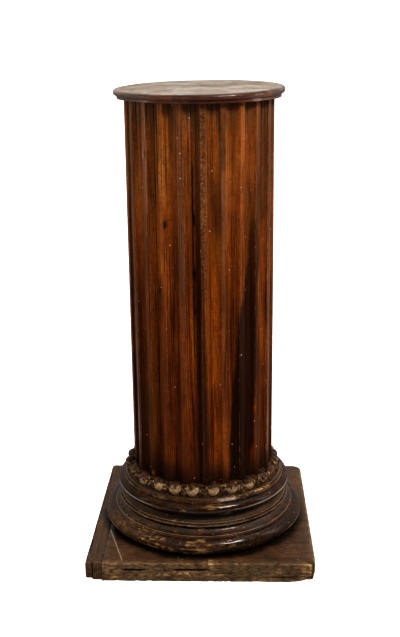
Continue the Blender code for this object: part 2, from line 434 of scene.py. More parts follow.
shaft = {
    "footRadius": 0.156, "topRadius": 0.155, "landWidth": 0.0115, "depth": 0.009,
    "rows": 168, "columnsPerFlute": 22,
    "rounding": 0.0007,         # how softly an edge turns into its flute
    # The angle of each land's middle, measured in front and evenly spaced behind
    "lands": (4.6, 19.5, 34.6, 50.5, 68.5, 85.0, 100.7, 116.3, 132.0, 147.7, 163.3, 179.0,
              194.7, 210.3, 226.0, 241.7, 257.3, 273.0, 285.0, 299.0, 316.5, 332.0, 347.5),
    # How much dust and painted sheen each land carries, from the first one on towards +X, and the ones whose
    # finish is crazed
    "landDustAndSheen": (0.66, 0.92, 0.14, 0.20, 0.85, 0.55, 0.25, 0.70, 0.35, 0.15, 0.60, 0.45,
                 0.20, 0.75, 0.30, 0.50, 0.25, 0.65, 0.90, 0.85, 0.16, 0.12, 0.95),
    "crazedLands": (0, 7, 12, 15),
    # The joints between staves, and each stave's tone from the front joint on: dark red below 0, orange above
    "seamAngles": (-4.3, 27.0, 58.5, 105.0, 150.0, 196.0, 243.0, 285.0, 324.0),
    "staveTones": (0.75, -0.2, 0.3, -0.4, 0.2, -0.1, -0.55, 0.2, 0.75),
    # Dark stretches of painted shade, on the left side and down the front: angle, half width, the height they
    # fade in at, the height they are full at, strength
    "paintedShadePlaces": ((0.2, 5.6, 1.0, 0.66, 0.95), (4.6, 3.6, 0.56, 0.36, 0.85),
                   (-52.0, 26.0, 0.80, 0.45, 0.72), (-68.0, 20.0, 0.60, 0.36, 0.90)),
    # Thin light lines down the lands at the sides: angle, half width, strength
    "sheenLines": ((-76.0, 3.0, 1.0), (-61.5, 2.6, 1.0), (68.5, 2.4, 0.6)),
    "rubbedLip": (-42.5, 2.6),  # the foot of one land on the left is rubbed bare: angle, half width
    # The dark stain low on the right: height, its middle's angle, half its width in degrees
    "stain": ((0.18, 34.5, 10.5), (0.33, 37.0, 11.0), (0.565, 42.0, 8.5), (0.67, 48.0, 4.5),
              (0.79, 48.5, 2.0)),
    # Knots, scars and lost filler: angle, height, half width, half height, depth
    "holes": ((-26.0, 0.742, 0.0034, 0.0105, 0.0030), (-4.1, 0.836, 0.0012, 0.0280, 0.0030),
              (-4.0, 0.770, 0.0011, 0.0400, 0.0030), (-3.5, 0.752, 0.0026, 0.0120, 0.0030),
              (-4.1, 0.690, 0.0012, 0.0420, 0.0026), (-3.7, 0.641, 0.0028, 0.0150, 0.0030),
              (-4.0, 0.596, 0.0013, 0.0340, 0.0030), (-3.6, 0.563, 0.0022, 0.0080, 0.0026),
              (8.5, 0.346, 0.0020, 0.0030, 0.0022),
              (-33.0, 0.602, 0.0040, 0.0110, 0.0016), (-44.0, 0.880, 0.0020, 0.0090, 0.0018)),
}


def fluteSection(pitch, halfLand):
    # Places across one even pitch from a land's middle, in degrees, crowded at the two edges of the flute
    edge = np.array([0.0, 0.55, 0.86, 1.0, 1.1, 1.28]) * halfLand
    columns = shaft["columnsPerFlute"] - 2 * len(edge) + 1
    flute = np.linspace(1.62 * halfLand, pitch - 1.62 * halfLand, columns)
    # Three more close to the middle, where a joint between two staves can run
    flute = np.sort(np.concatenate([flute, pitch / 2 + np.array([-0.45, -0.16, 0.45])]))
    return np.concatenate([edge, flute, pitch - edge[:0:-1]])


def flutedRadius(even, pitch, halfLand, u, v):
    # The land is a circle, a little uneven as planed by hand. The flute is the near side of a circle through
    # both land edges, depth deep: C cos f - sqrt(R^2 - C^2 sin^2 f), where f is the angle from its middle
    land = shaft["footRadius"] + (shaft["topRadius"] - shaft["footRadius"]) * v
    land = land + 0.00022 * softNoise(u, v, 23, 6, 21) - 0.00022
    uneven = np.random.default_rng(11).uniform(-1, 1, len(shaft["lands"]))[np.floor(even / pitch).astype(int)]
    depth = shaft["depth"] * (1 + 0.06 * uneven + 0.05 * softNoise(u, v, 23, 5, 22))
    halfFlute = math.radians(pitch / 2 - halfLand)
    reach = ((land * math.sin(halfFlute)) ** 2 + depth ** 2) / (2 * depth)
    middle = land * math.cos(halfFlute) + reach - depth
    off = np.radians(even % pitch - pitch / 2)[None, :]
    aside = middle * np.sin(off)
    cut = middle * np.cos(off) - np.sqrt(np.maximum(reach ** 2 - aside ** 2, 0.0))
    cut = np.where(np.abs(aside) < reach, cut, land + 0.004)
    soft = shaft["rounding"]
    blend = unit(0.5 + (cut - land) / (2 * soft))
    radius = cut * (1 - blend) + land * blend - soft * blend * (1 - blend)
    return radius, unit((land - radius) / shaft["depth"])


def shaftDarkness(angle, u, v, z):
    # Where the surface is dark: the listed stretches, which are painted shade, the stain, and others behind
    # and here and there
    heights, middles, halves = zip(*shaft["stain"])
    half = np.interp(z, heights, halves) + 1.1 * softNoise(u, v, 70, 30, 38)
    stain = step(half + 1.8, half - 0.8, np.abs(arcGap(angle[None, :], np.interp(z, heights, middles))))
    dark = 0.97 * stain * step(0.82, 0.72, z)
    atBack = step(60, 100, np.abs(arcGap(angle, 0)))[None, :]
    dark = np.maximum(dark, 0.7 * atBack * step(0.15, 0.6, softNoise(u + 0.0 * v, 0.6 * v, 11, 3, 26)))
    dark = np.maximum(dark, 0.55 * step(0.35, 0.8, softNoise(u, v, 23, 4, 27)))
    for middle, halfWidth, begin, full, strength in shaft["paintedShadePlaces"]:
        dark = np.maximum(dark, strength * hill(angle, middle, halfWidth) * step(begin, full, z))
    return dark


def shaftSurface():
    # The fluted radius carried up the shaft. It is worked out on even pitches, whose lands are then moved to
    # their own angles.
    lands = np.array(shaft["lands"])
    flutes = len(lands)
    pitch = 360.0 / flutes
    halfLand = math.degrees(math.asin(shaft["landWidth"] / 2 / shaft["footRadius"]))
    even = (pitch * np.arange(flutes)[:, None] + fluteSection(pitch, halfLand)).ravel()
    angle = np.interp(even, pitch * np.arange(flutes + 1), np.append(lands, lands[0] + 360.0))
    low, high = (corner[2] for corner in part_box("fluted_shaft"))
    v = np.linspace(0.0, 1.0, shaft["rows"])[:, None]
    z = low + (high - low) * v
    u = (angle / 360.0)[None, :]
    radius, hollow = flutedRadius(even, pitch, halfLand, u, v)

    # Tool marks along the flutes, nicks on the edges and bruises
    edge = bump(hollow, 0.10, 0.16)
    nick = step(0.52, 0.95, softNoise(u, v, 92, 90, 24)) * edge
    radius = radius + 0.00010 * softNoise(u, v, 391, 5, 23) * hollow - 0.0011 * nick
    radius = radius - 0.0004 * step(0.6, 1.0, softNoise(u, v, 180, 70, 25))

    # Joints between the staves, opened here and there, and the holes
    seam = np.zeros_like(radius)
    for place in shaft["seamAngles"]:
        opened = 0.35 + 0.65 * step(-0.2, 0.6, softNoise(v, v, 9, 1, int(place) + 400))
        seam = np.maximum(seam, hill(angle, place, 0.55) * opened)
    radius = radius - 0.0010 * seam
    hole = seam
    for place, height, halfWidth, halfHeight, deep in shaft["holes"]:
        aside = np.radians(arcGap(angle, place))[None, :] * shaft["footRadius"] / halfWidth
        spot = np.exp(-(aside ** 2 + ((z - height) / halfHeight) ** 2) ** 2)
        radius = radius - deep * spot
        hole = np.maximum(hole, spot)

    # Dirt at the foot and at the head, where it keeps to the flutes
    foot = step(low + 0.075, low + 0.004, z + 0.02 * softNoise(u, v, 46, 8, 28))
    head = step(high - 0.075, high - 0.004, z + 0.02 * softNoise(u, v, 46, 8, 29))
    head = head * (0.06 + 0.94 * step(0.15, 0.5, hollow))
    # Dust and painted sheen on the lands: thin low down in front, and the whole way down at the sides
    nearest = np.round(even / pitch).astype(int) % flutes
    atSides = step(54.0, 60.0, np.abs(arcGap(angle, 0.0)))[None, :]
    dust = np.array(shaft["landDustAndSheen"])[nearest][None, :] * (0.75 + 0.5 * softNoise(u, v, 23, 5, 30))
    dust = dust * np.maximum(0.12 + 0.88 * step(0.32, 0.84, z), 0.95 * atSides)
    seams = np.sort(np.array(shaft["seamAngles"]) % 360.0)
    tone = np.array(shaft["staveTones"])[np.searchsorted(seams, angle % 360.0) % len(seams)]
    sheen = np.zeros_like(radius)
    for place, halfWidth, strength in shaft["sheenLines"]:
        sheen = np.maximum(sheen, strength * hill(angle, place, halfWidth))
    sheen = sheen * step(0.62, 0.38, z) * step(0.40, 0.10, hollow) * (0.85 + 0.3 * softNoise(v, v, 9, 20, 47))
    lip = hill(angle, *shaft["rubbedLip"]) * bump(z, low + 0.010, 0.013)
    masks = {"land": step(0.22, 0.02, hollow) * dust, "crest": step(0.30, 0.02, hollow),
             "dark": shaftDarkness(angle, u, v, z) * (1 - lip), "foot": foot * (1 - lip), "head": head,
             "hole": hole, "edge": unit(np.maximum(edge, 1.5 * lip) + nick), "sheen": unit(sheen),
             "crazed": np.isin(nearest, shaft["crazedLands"])[None, :] * 0.8 + 0.2,
             "tone": tone[None, :] + 0.35 * softNoise(u, v, 69, 3, 39)}
    rings, masks = withFlatEnds(roundTheAxis(angle, radius, z), masks, 0.5, 0.5)
    return closedRings("fluted_shaft_surface", rings, masks)


def shaftFinish():
    material, tree, shader, place = startMaterial("shaftVarnish", Coat_Roughness=0.13, Coat_IOR=1.5,
                                                  Specular_IOR_Level=0.05)
    height = addNode(tree, "SeparateXYZ", {"Vector": place}).outputs["Z"]
    grain = useGroup(tree, grainGroup, Place=place, Scale=62.0)
    drawn = drawnOut(tree, place, 0.20)
    clouds = noise(tree, drawn, 15.0, 5.0, 0.62, 0.4)
    lines = noise(tree, drawnOut(tree, place, 0.014), 230.0, 3.0, 0.65)
    flecks = noise(tree, drawnOut(tree, place, 0.35), 330.0, 3.0, 0.7)
    speckle = noise(tree, place, 300.0, 3.0, 0.75)
    # Orange above, redder and darker towards the foot, and each stave with a tone of its own
    level = plus(tree, clouds, remap(tree, height, 0.15, 1.0, -0.075, 0.060))
    level = plus(tree, level, times(tree, mask(tree, "tone"), 0.055))
    warm = colorRamp(tree, level, (0.30, 0.046, 0.008, 0.0009), (0.45, 0.134, 0.025, 0.0018),
                     (0.58, 0.275, 0.067, 0.0046), (0.74, 0.450, 0.160, 0.021))
    # A thin bloom of dust over the upper part, and on the lands thicker dust with painted sheen, crackled on
    # some of them
    grainy = remap(tree, speckle, 0.42, 0.60, 0.35, 1.0)
    bloom = times(tree, remap(tree, height, 0.55, 0.95, 0.0, 0.34), grainy)
    crackled = mixColors(tree, remap(tree, speckle, 0.42, 0.58), (0.040, 0.014, 0.005), (0.290, 0.148, 0.070))
    plain = mixColors(tree, remap(tree, lines, 0.46, 0.60), (0.165, 0.080, 0.046), (0.075, 0.030, 0.014))
    dusty = mixColors(tree, mask(tree, "crazed"), plain, crackled)
    rubbed = useGroup(tree, grimeGroup, Place=drawn, Scale=22.0, Amount=0.66)["Cover"]
    onLand = times(tree, mask(tree, "land"), remap(tree, rubbed, 0.0, 1.0, 0.30, 0.95))
    edges = useGroup(tree, edgeGroup, Place=place, Edge=mask(tree, "edge"), Amount=0.52)["Rubbed"]
    # Fine crackle over the whole finish
    cells = addNode(tree, "TexVoronoi", {"Vector": drawnOut(tree, place, 0.45), "Scale": 260.0},
                    feature="DISTANCE_TO_EDGE").outputs["Distance"]
    crackle = times(tree, remap(tree, cells, 0.02, 0.12, 1.0, 0.0), remap(tree, speckle, 0.45, 0.60))
    headColor = mixColors(tree, remap(tree, lines, 0.42, 0.60), (0.130, 0.074, 0.038), (0.040, 0.020, 0.010))
    footColor = mixColors(tree, remap(tree, speckle, 0.42, 0.64), (0.008, 0.003, 0.0015),
                          (0.045, 0.023, 0.012))
    grime = useGroup(tree, grimeGroup, Place=drawn, Scale=30.0, Amount=0.60)["Cover"]
    specks = useGroup(tree, speckGroup, Place=place, Scale=210.0, Share=0.007)["Specks"]
    final = layered(tree, warm,
                    ((0.036, 0.006, 0.0010), grain["Streaks"], 0.68),
                    ((0.36, 0.125, 0.018), grain["Fibres"], 0.30),
                    ((0.020, 0.004, 0.001), remap(tree, lines, 0.50, 0.64), 0.78),
                    ((0.014, 0.004, 0.001), remap(tree, flecks, 0.56, 0.70), 0.55),
                    # The dark mask: the stain and darker wood, with painted shade on the left side and down
                    # the front
                    ((0.008, 0.002, 0.0005), mask(tree, "dark"), 0.90),
                    ((0.235, 0.115, 0.045), bloom, 1.0),
                    (dusty, onLand, 1.0),
                    ((0.240, 0.165, 0.118), mask(tree, "sheen"), 0.75),
                    ((0.34, 0.150, 0.050), edges, 0.55),
                    ((0.014, 0.004, 0.001), crackle, 0.55),
                    (headColor, mask(tree, "head"), 0.80),
                    (footColor, mask(tree, "foot"), 0.85),
                    ((0.012, 0.004, 0.0015), grime, 0.34),
                    ((0.008, 0.006, 0.003), mask(tree, "hole"), 1.0),
                    ((0.62, 0.50, 0.34), specks, 0.85))
    soiled = larger(tree, mask(tree, "head"), mask(tree, "foot"))
    rough = plus(tree, remap(tree, clouds, 0.3, 0.7, 0.34, 0.46), times(tree, soiled, 0.25), clamp=True)
    polish = times(tree, mask(tree, "crest"), remap(tree, height, 0.15, 0.80, 0.13, 0.28))
    coat = times(tree, plus(tree, 0.03, polish), minus(tree, 1.0, soiled))
    crazing = times(tree, times(tree, onLand, mask(tree, "crazed")), 0.9)
    relief = plus(tree, times(tree, grain["Fibres"], 0.35), times(tree, speckle, crazing))
    joinShader(tree, shader, relief, 0.35, 0.0004, Base_Color=final, Roughness=rough, Coat_Weight=coat)
    return material


shaftPiece = shaftSurface()
dress(shaftPiece, shaftFinish(), "shaft_wood", "fluted_shaft")
print("shaft:", len(shaftPiece.data.polygons), "faces")


# Turned base with its eggs and darts

base = {
    "foot": 0.156, "underside": 0.0433,
    # Each member, from below: how far it stands out past the foot, its swell or depth, and its height
    "lowerRoll": (0.0665, 0.018, 0.037), "lowerFillet": (0.0445, 0.003), "lowerHollow": (0.0090, 0.0172),
    "wideBand": (0.0350, 0.003), "narrowBand": (0.0306, 0.0035), "upperHollow": (0.0065, 0.0145),
    "upperRoll": (0.0363, 0.0138, 0.030), "upperFillet": (0.0243, 0.003), "ledge": (0.0190, 0.0065),
    "core": (0.004, 0.008, 0.022),
    "highlightRingHeights": (0.0595, 0.1352),    # heights of the painted highlight lines on the two rolls
    "dustyHollow": 0.1100,              # height of the grey dust in the upper hollow
    "wearReach": 0.0016,                # how far wear reaches to both sides of an arris
    # Where the finish has gone from the lower roll and from the ledge: angle, half width, strength
    "wornRoll": ((-30.0, 15.0, 1.0), (-6.0, 12.0, 0.45), (150.0, 25.0, 0.5), (215.0, 16.0, 0.4)),
    "wornLedge": ((21.0, 10.0, 1.0), (46.0, 17.0, 1.0), (170.0, 30.0, 0.6)),
    "rows": 250, "columns": 390, "rounding": 0.00030,
}


def baseOutline():
    # Member by member upwards from the underside; z is the height that the outline has reached
    foot = base["foot"]
    z = base["underside"]
    projection, swell, height = base["lowerRoll"]
    rollFoot = foot + projection - swell
    parts = [np.array([[rollFoot - 0.02, z]]), rollCurve(rollFoot, z, swell, height)]
    z += height
    fillet, height = base["lowerFillet"]
    parts.append(np.array([[foot + fillet, z], [foot + fillet, z + height]]))
    z += height
    depth, height = base["lowerHollow"]
    wide, wideHeight = base["wideBand"]
    parts.append(hollowCurve(foot + fillet, foot + wide, z, height, depth))
    z += height + wideHeight
    narrow, height = base["narrowBand"]
    parts.append(np.array([[foot + wide, z], [foot + narrow, z], [foot + narrow, z + height]]))
    z += height
    depth, height = base["upperHollow"]
    projection, swell, rollHeight = base["upperRoll"]
    rollFoot = foot + projection - swell
    parts.append(hollowCurve(foot + narrow, rollFoot, z, height, depth))
    z += height
    fillet, filletHeight = base["upperFillet"]
    parts.append(rollCurve(rollFoot, z, swell, rollHeight - filletHeight))
    z += rollHeight
    parts.append(np.array([[foot + fillet, z - filletHeight], [foot + fillet, z]]))
    ledge, height = base["ledge"]
    parts.append(np.array([[foot + ledge, z + height]]))
    z += height
    margin, swell, height = base["core"]
    parts.append(rollCurve(foot + margin, z, swell, height))
    parts.append(np.array([[foot - 0.010, z + height]]))
    return parts, z


def wornPlaces(angle, places):
    # The sum of the listed hills round the axis
    return sum(strength * hill(angle, middle, halfWidth) for middle, halfWidth, strength in places)


def baseSurface():
    # The outline carried round the axis; dents and masks follow its angle, height and turning
    parts, ledge = baseOutline()
    profile, normal, turning, behind = smoothedProfile(parts, base["rows"], base["rounding"], 0.0035)
    angle, u, v = gridRound(base["rows"], base["columns"])
    radius, z = profile[:, :1], profile[:, 1:]
    turning, behind, upward = turning[:, None], behind[:, None], normal[:, 1:]
    fromFront = np.abs(arcGap(angle, 0.0))[None, :]
    # Wear reaches a little to both sides of each arris
    walk = walked(profile)
    near = bump(walk[:, None] - walk[None, :], 0.0, base["wearReach"])
    arris = (unit(turning / 700.0).T * near).max(axis=1)[:, None]
    # Dust settles in the lower half of each hollow, thickest in the upper one, and the downward faces of the
    # hollows get painted shade
    facingUp = step(-0.10, 0.45, upward)
    recess = unit(np.maximum(-turning / 500.0, behind / 0.0028))
    thick = bump(z, base["dustyHollow"], 0.0050) * step(0.20, 0.19, radius) * step(0.0, 0.3, facingUp)
    settled = np.maximum(recess * facingUp, thick) * (0.75 + 0.25 * softNoise(u, v, 30, 40, 42))
    # Painted highlight lines where the two rolls stand out furthest, standing in for their reflection of the
    # lights, clearest at the sides
    lowerRing, upperRing = base["highlightRingHeights"]
    lowerHighlightLine = bump(z, lowerRing, 0.0034) * step(0.215, 0.22, radius) * step(48.0, 78.0, fromFront)
    upperHighlightLine = bump(z, upperRing, 0.0030) * step(0.188, 0.190, radius)
    rim = 1.25 * np.maximum(lowerHighlightLine, upperHighlightLine) * (0.12 + 0.88 * step(18.0, 58.0, fromFront))
    free = step(0.17, 0.19, radius) * step(base["underside"] + 0.001, base["underside"] + 0.006, z)

    # Where the finish has gone: from the lower roll, from the ledge, and scattered in front
    lowerRoll = bump(z, 0.063, 0.016) * step(0.20, 0.21, radius)
    worn = wornPlaces(angle, base["wornRoll"]) * lowerRoll * step(-0.05, 0.60, softNoise(u, v, 170, 110, 35))
    onLedge = step(ledge - 0.007, ledge - 0.002, z) * step(0.1815, 0.179, radius)
    ledgeWorn = wornPlaces(angle, base["wornLedge"]) * onLedge
    ledgeWorn = ledgeWorn * step(-0.35, 0.35, softNoise(u, v, 170, 90, 37))
    scattered = step(0.42, 0.75, softNoise(u, v, 60, 40, 34)) * hill(angle, -15.0, 60.0) * free
    # Slight unevenness, bruises, and chips out of the sharp edges
    push = 0.00025 * softNoise(u, v, 14, 5, 31) - 0.00025
    bruise = step(0.55, 1.0, softNoise(u, v, 120, 60, 32))
    chip = step(0.35, 0.85, softNoise(u, v, 150, 70, 33)) * step(0.15, 0.5, arris)
    push = push - (0.0006 * bruise + 0.0011 * chip) * free - 0.0005 * worn

    # Rubbed glossy towards the front right, dusty on the lower roll and on the left of the hollows
    glossy = 0.16 + 0.84 * (hill(angle, 20.0, 62.0) + 0.5 * hill(angle, 190.0, 70.0))
    underneath = step(-0.15, -0.85, upward)
    dusty = 0.44 * step(0.085, 0.070, z) + 0.45 * hill(angle, -55.0, 60.0) * step(0.145, 0.120, z)
    dusty = (dusty + 0.12 * bump(z, 0.1035, 0.0045)) * (1.0 - 0.9 * underneath)
    # The upper fillet's arrises are less worn in front than the others
    atSides = step(38.0, 80.0, fromFront)
    edge = arris * (0.88 + 0.12 * atSides) * (1.0 - 0.45 * step(0.146, 0.148, z) * (1.0 - atSides))
    masks = {"edge": edge * (0.85 + 0.15 * softNoise(u, v, 40, 20, 36)), "settled": settled,
             "recess": recess * (1.0 - 0.85 * facingUp), "glossy": glossy * free,
             "rim": unit(rim * (0.85 + 0.30 * softNoise(u, v, 60, 20, 43))),
             "bare": unit(worn + ledgeWorn + 0.4 * scattered),
             "shelf": bump(z, ledge, 0.006) * step(0.185, 0.18, radius),
             "dusty": unit(dusty + 0.22 * softNoise(u, v, 24, 10, 40)),
             "shade": unit(underneath + 0.6 * bump(z, 0.134, 0.018))}
    return closedRings("base_turning", turnedRound(angle, profile, normal, push), masks), ledge


def baseFinish():
    material, tree, shader, place = startMaterial("baseVarnish", Coat_Roughness=0.14, Coat_IOR=1.5,
                                                  Specular_IOR_Level=0.05)
    lying = turned(tree, place, 0.0, 90.0, 0.0)
    grain = useGroup(tree, grainGroup, Place=lying, Scale=70.0)
    clouds = noise(tree, place, 22.0, 6.0, 0.66, 0.3)
    fine = noise(tree, place, 250.0, 5.0, 0.82)
    splinters = noise(tree, drawnOut(tree, lying, 0.15), 260.0, 3.0)
    brown = colorRamp(tree, clouds, (0.38, 0.005, 0.0016, 0.0006), (0.51, 0.018, 0.006, 0.0017),
                      (0.62, 0.056, 0.018, 0.0042), (0.74, 0.140, 0.046, 0.010))
    # Dust lies in grains, thick where the dusty mask is high
    grains = plus(tree, fine, times(tree, minus(tree, mask(tree, "dusty"), 0.5), 0.16))
    grime = useGroup(tree, grimeGroup, Place=place, Scale=34.0, Amount=0.52)["Cover"]
    dust = times(tree, remap(tree, grains, 0.48, 0.58), remap(tree, grime, 0.0, 1.0, 0.35, 1.0))
    dust = times(tree, dust, mask(tree, "dusty"))
    recess = times(tree, mask(tree, "recess"), 0.90)
    settled = times(tree, mask(tree, "settled"), remap(tree, fine, 0.34, 0.58, 0.25, 0.80))
    edges = useGroup(tree, edgeGroup, Place=place, Edge=mask(tree, "edge"), Amount=0.92)["Rubbed"]
    tan = mixColors(tree, remap(tree, splinters, 0.4, 0.62), (0.16, 0.045, 0.008), (0.52, 0.33, 0.13))
    bare = times(tree, mask(tree, "bare"), remap(tree, splinters, 0.40, 0.56), clamp=True)
    specks = useGroup(tree, speckGroup, Place=place, Scale=230.0, Share=0.045)["Specks"]
    final = layered(tree, brown,
                    ((0.009, 0.004, 0.002), grain["Streaks"], 0.5),
                    ((0.12, 0.058, 0.025), grain["Fibres"], 0.16),
                    # The shade and recess masks are painted shade, under the rolls and in the downward faces
                    # of the hollows
                    ((0.006, 0.002, 0.0008), mask(tree, "shade"), 0.55),
                    ((0.140, 0.086, 0.045), dust, 1.0),
                    ((0.003, 0.0015, 0.0008), remap(tree, fine, 0.48, 0.40), 0.9),
                    ((0.004, 0.002, 0.001), recess, 1.0),
                    ((0.110, 0.082, 0.060), settled, 1.0),
                    ((0.33, 0.215, 0.125), edges, 0.80),
                    # The rim mask is painted highlight along the rolls' widest rings
                    ((0.36, 0.270, 0.200), mask(tree, "rim"), remap(tree, fine, 0.36, 0.56, 0.55, 0.95)),
                    ((0.070, 0.045, 0.026), mask(tree, "shelf"), remap(tree, fine, 0.38, 0.62, 0.15, 0.85)),
                    (tan, bare, 1.0),
                    ((0.42, 0.32, 0.19), specks, 0.8))
    soiled = larger(tree, larger(tree, recess, bare), larger(tree, dust, settled))
    rough = plus(tree, remap(tree, clouds, 0.3, 0.7, 0.34, 0.46), times(tree, soiled, 0.3), clamp=True)
    coat = times(tree, mask(tree, "glossy"), remap(tree, soiled, 0.1, 0.9, 0.50, 0.02))
    relief = plus(tree, fine, times(tree, grain["Fibres"], 0.4))
    joinShader(tree, shader, relief, 0.40, 0.0008, Base_Color=final, Roughness=rough, Coat_Weight=coat)
    return material


eggs = {
    # The angle of each egg, measured at the front and evenly spaced behind
    "angles": (-64.7, -48.4, -33.0, -19.6, -6.1, 9.2, 23.2, 37.6, 52.3, 66.0, 81.3, 96.6, 111.9, 127.2,
               142.4, 157.7, 173.0, 188.3, 203.6, 218.9, 234.2, 249.4, 263.5, 277.5),
    "radius": 0.0137, "projection": 0.0080, "rise": 0.0152, "rows": 22, "columns": 28,
    # How far the eggs at the sides and behind are worn down, and the places where it is twice that or nothing
    "wornBy": 0.0035, "wornTwice": (92.0, 20.0), "unworn": (-82.0, 5.0),
    # The band they stand in: its foot and head past the shaft's foot, its height and its grid
    "bandFoot": 0.0160, "bandHead": 0.0015, "bandHeight": 0.0230, "bandRows": 46, "bandColumns": 1080,
    # The shell round each egg: where its rim runs, as a share of the egg's size, its width and height
    "rimAt": 1.22, "rimWidth": 0.13, "rimHeight": 0.0030, "grooveDepth": 0.0016,
    # The small knob between two eggs: how far below the egg's middle, half width, half height, height
    "knob": (-0.0040, 0.0042, 0.0062, 0.0044),
}


def bandProfile(ledge):
    # A quarter round: r = head + (foot - head) (1 - t^2.4)^(1/2), z = ledge + height t. Returns its points,
    # its outward normals and the length walked up to each point.
    t = np.linspace(0.0, 1.0, 400)
    foot, head = base["foot"] + eggs["bandFoot"], base["foot"] + eggs["bandHead"]
    line = np.stack([head + (foot - head) * np.sqrt(1 - t ** 2.4),
                     ledge - 0.0012 + (eggs["bandHeight"] + 0.0012) * t], axis=-1)
    length = walked(line)
    walk = np.linspace(0.0, length[-1], eggs["bandRows"])
    line = pointsAt(walk, length, line)
    return line, outward(directions(line)), walk


def nearestGap(angle, places):
    # The angle of each column from the nearest of some places
    gaps = arcGap(angle[None, :], places[:, None])
    return gaps[np.abs(gaps).argmin(axis=0), np.arange(len(angle))]


def eggBand(ledge):
    # A ring whose height above its quarter round follows the distance q from the nearest egg: a groove close
    # to it, a worn rim round it, and a knob midway to the next egg
    line, normal, walk = bandProfile(ledge)
    angle, u, v = gridRound(eggs["bandRows"], eggs["bandColumns"])
    places = np.array(eggs["angles"])
    between = places + arcGap(np.roll(places, -1), places) / 2
    upward = walk[:, None] - np.interp(ledge + eggs["rise"], line[:, 1], walk)
    aside = np.radians(nearestGap(angle, places))[None, :] * line[:, :1]
    knobAside = np.radians(nearestGap(angle, between))[None, :] * line[:, :1]
    size = eggs["radius"] * 0.93
    q = np.hypot(aside / size, upward / (size * 1.02))
    broken = softNoise(u, v, 150, 9, 44)
    rim = np.exp(-((q - eggs["rimAt"]) / eggs["rimWidth"]) ** 2) * step(-1.1, 0.1, upward / size)
    rim = rim * np.clip(0.72 + 0.65 * broken, 0.0, 1.2)
    groove = np.exp(-((q - 0.98) / 0.14) ** 2)
    low, halfWidth, halfHeight, height = eggs["knob"]
    knob = np.exp(-((knobAside / halfWidth) ** 2 + ((upward - low) / halfHeight) ** 2) ** 1.4)
    knobRim = np.exp(-((np.hypot(knobAside / 0.0062, (upward - low) / 0.0085) - 1.0) / 0.16) ** 2)
    field = (1 - rim) * (1 - knob)      # the ground between rims and knobs
    push = eggs["rimHeight"] * rim - eggs["grooveDepth"] * groove + height * knob - 0.0012 * field
    push = push + 0.0011 * knobRim * step(0.3, -0.4, broken) + 0.0005 * softNoise(u, v, 300, 14, 45)
    ends = step(0.0, 0.08, v) * step(1.0, 0.93, v)
    rubbed = 0.75 * rim * step(-0.3, 0.5, broken)
    rubbed = rubbed + 0.55 * knob * step(0.4, 0.9, knob) * step(-0.4, 0.6, broken)
    masks = {"rubbed": unit(rubbed + 0.3 * knobRim) * ends, "deep": unit(groove + 0.55 * field) * ends}
    rings, masks = withFlatEnds(turnedRound(angle, line, normal, push * ends), masks, 0.92, 0.96)
    return closedRings("base_egg_band", rings, masks, 70.0)


def placeRound(local, angles, radius, z):
    # Copies of a local shape (x along the ring, y outwards, z up), one at each angle
    turn = np.radians(angles)[:, None, None]
    x, y, up = local[..., 0], local[..., 1] + radius, local[..., 2] + z
    return np.stack([x * np.cos(turn) + y * np.sin(turn), x * np.sin(turn) - y * np.cos(turn), up], axis=-1)


def eggRow(ledge):
    # An egg: x = w cos s sin t, y = w sin s sin t, z = -h cos t, fuller towards its lower end
    angles = np.array(eggs["angles"])
    t = np.linspace(0.0, np.pi, eggs["rows"] + 2)[1:-1][None, :, None]
    s = np.linspace(0.0, 2 * np.pi, eggs["columns"], endpoint=False)[None, None, :]
    size = eggs["radius"] * (1 + 0.05 * np.random.default_rng(41).uniform(-1, 1, (len(angles), 1, 1)))
    lumps = [softNoise(s / (2 * np.pi), t / np.pi, 7, 6, 50 + egg) for egg in range(len(angles))]
    lumps = np.concatenate(lumps)
    swell = size * (1 + 0.045 * lumps) * (1 - 0.05 * np.cos(t))
    local = np.stack([swell * np.cos(s) * np.sin(t), 0.98 * swell * np.sin(s) * np.sin(t),
                      -1.02 * swell * np.cos(t)], axis=-1)
    fromFront = np.abs(arcGap(angles, 0.0))
    worn = np.where(fromFront > 56.0, eggs["wornBy"], 0.0)
    for (middle, reach), amount in ((eggs["wornTwice"], 2 * eggs["wornBy"]), (eggs["unworn"], 0.0)):
        worn = np.where(np.abs(arcGap(angles, middle)) < reach, amount, worn)
    radius = base["foot"] + eggs["projection"] - worn[:, None, None]
    # Rubbed towards the foot, most of all in front, and darker above and on the side towards the shaft
    height = -np.cos(t)
    rubbed = 0.85 * step(0.90, 0.05, height + 0.35 * lumps) * (0.78 + 0.22 * step(-0.2, 0.8, lumps))
    rubbed = rubbed * (0.50 + 0.58 * step(60.0, 30.0, fromFront)[:, None, None])
    deep = unit(0.7 * step(0.45, 0.95, height) + 0.8 * step(0.05, -0.3, np.sin(s)))
    grids = placeRound(local, angles, radius, ledge + eggs["rise"])
    return manyRings("base_eggs", grids, {"rubbed": rubbed, "deep": deep})


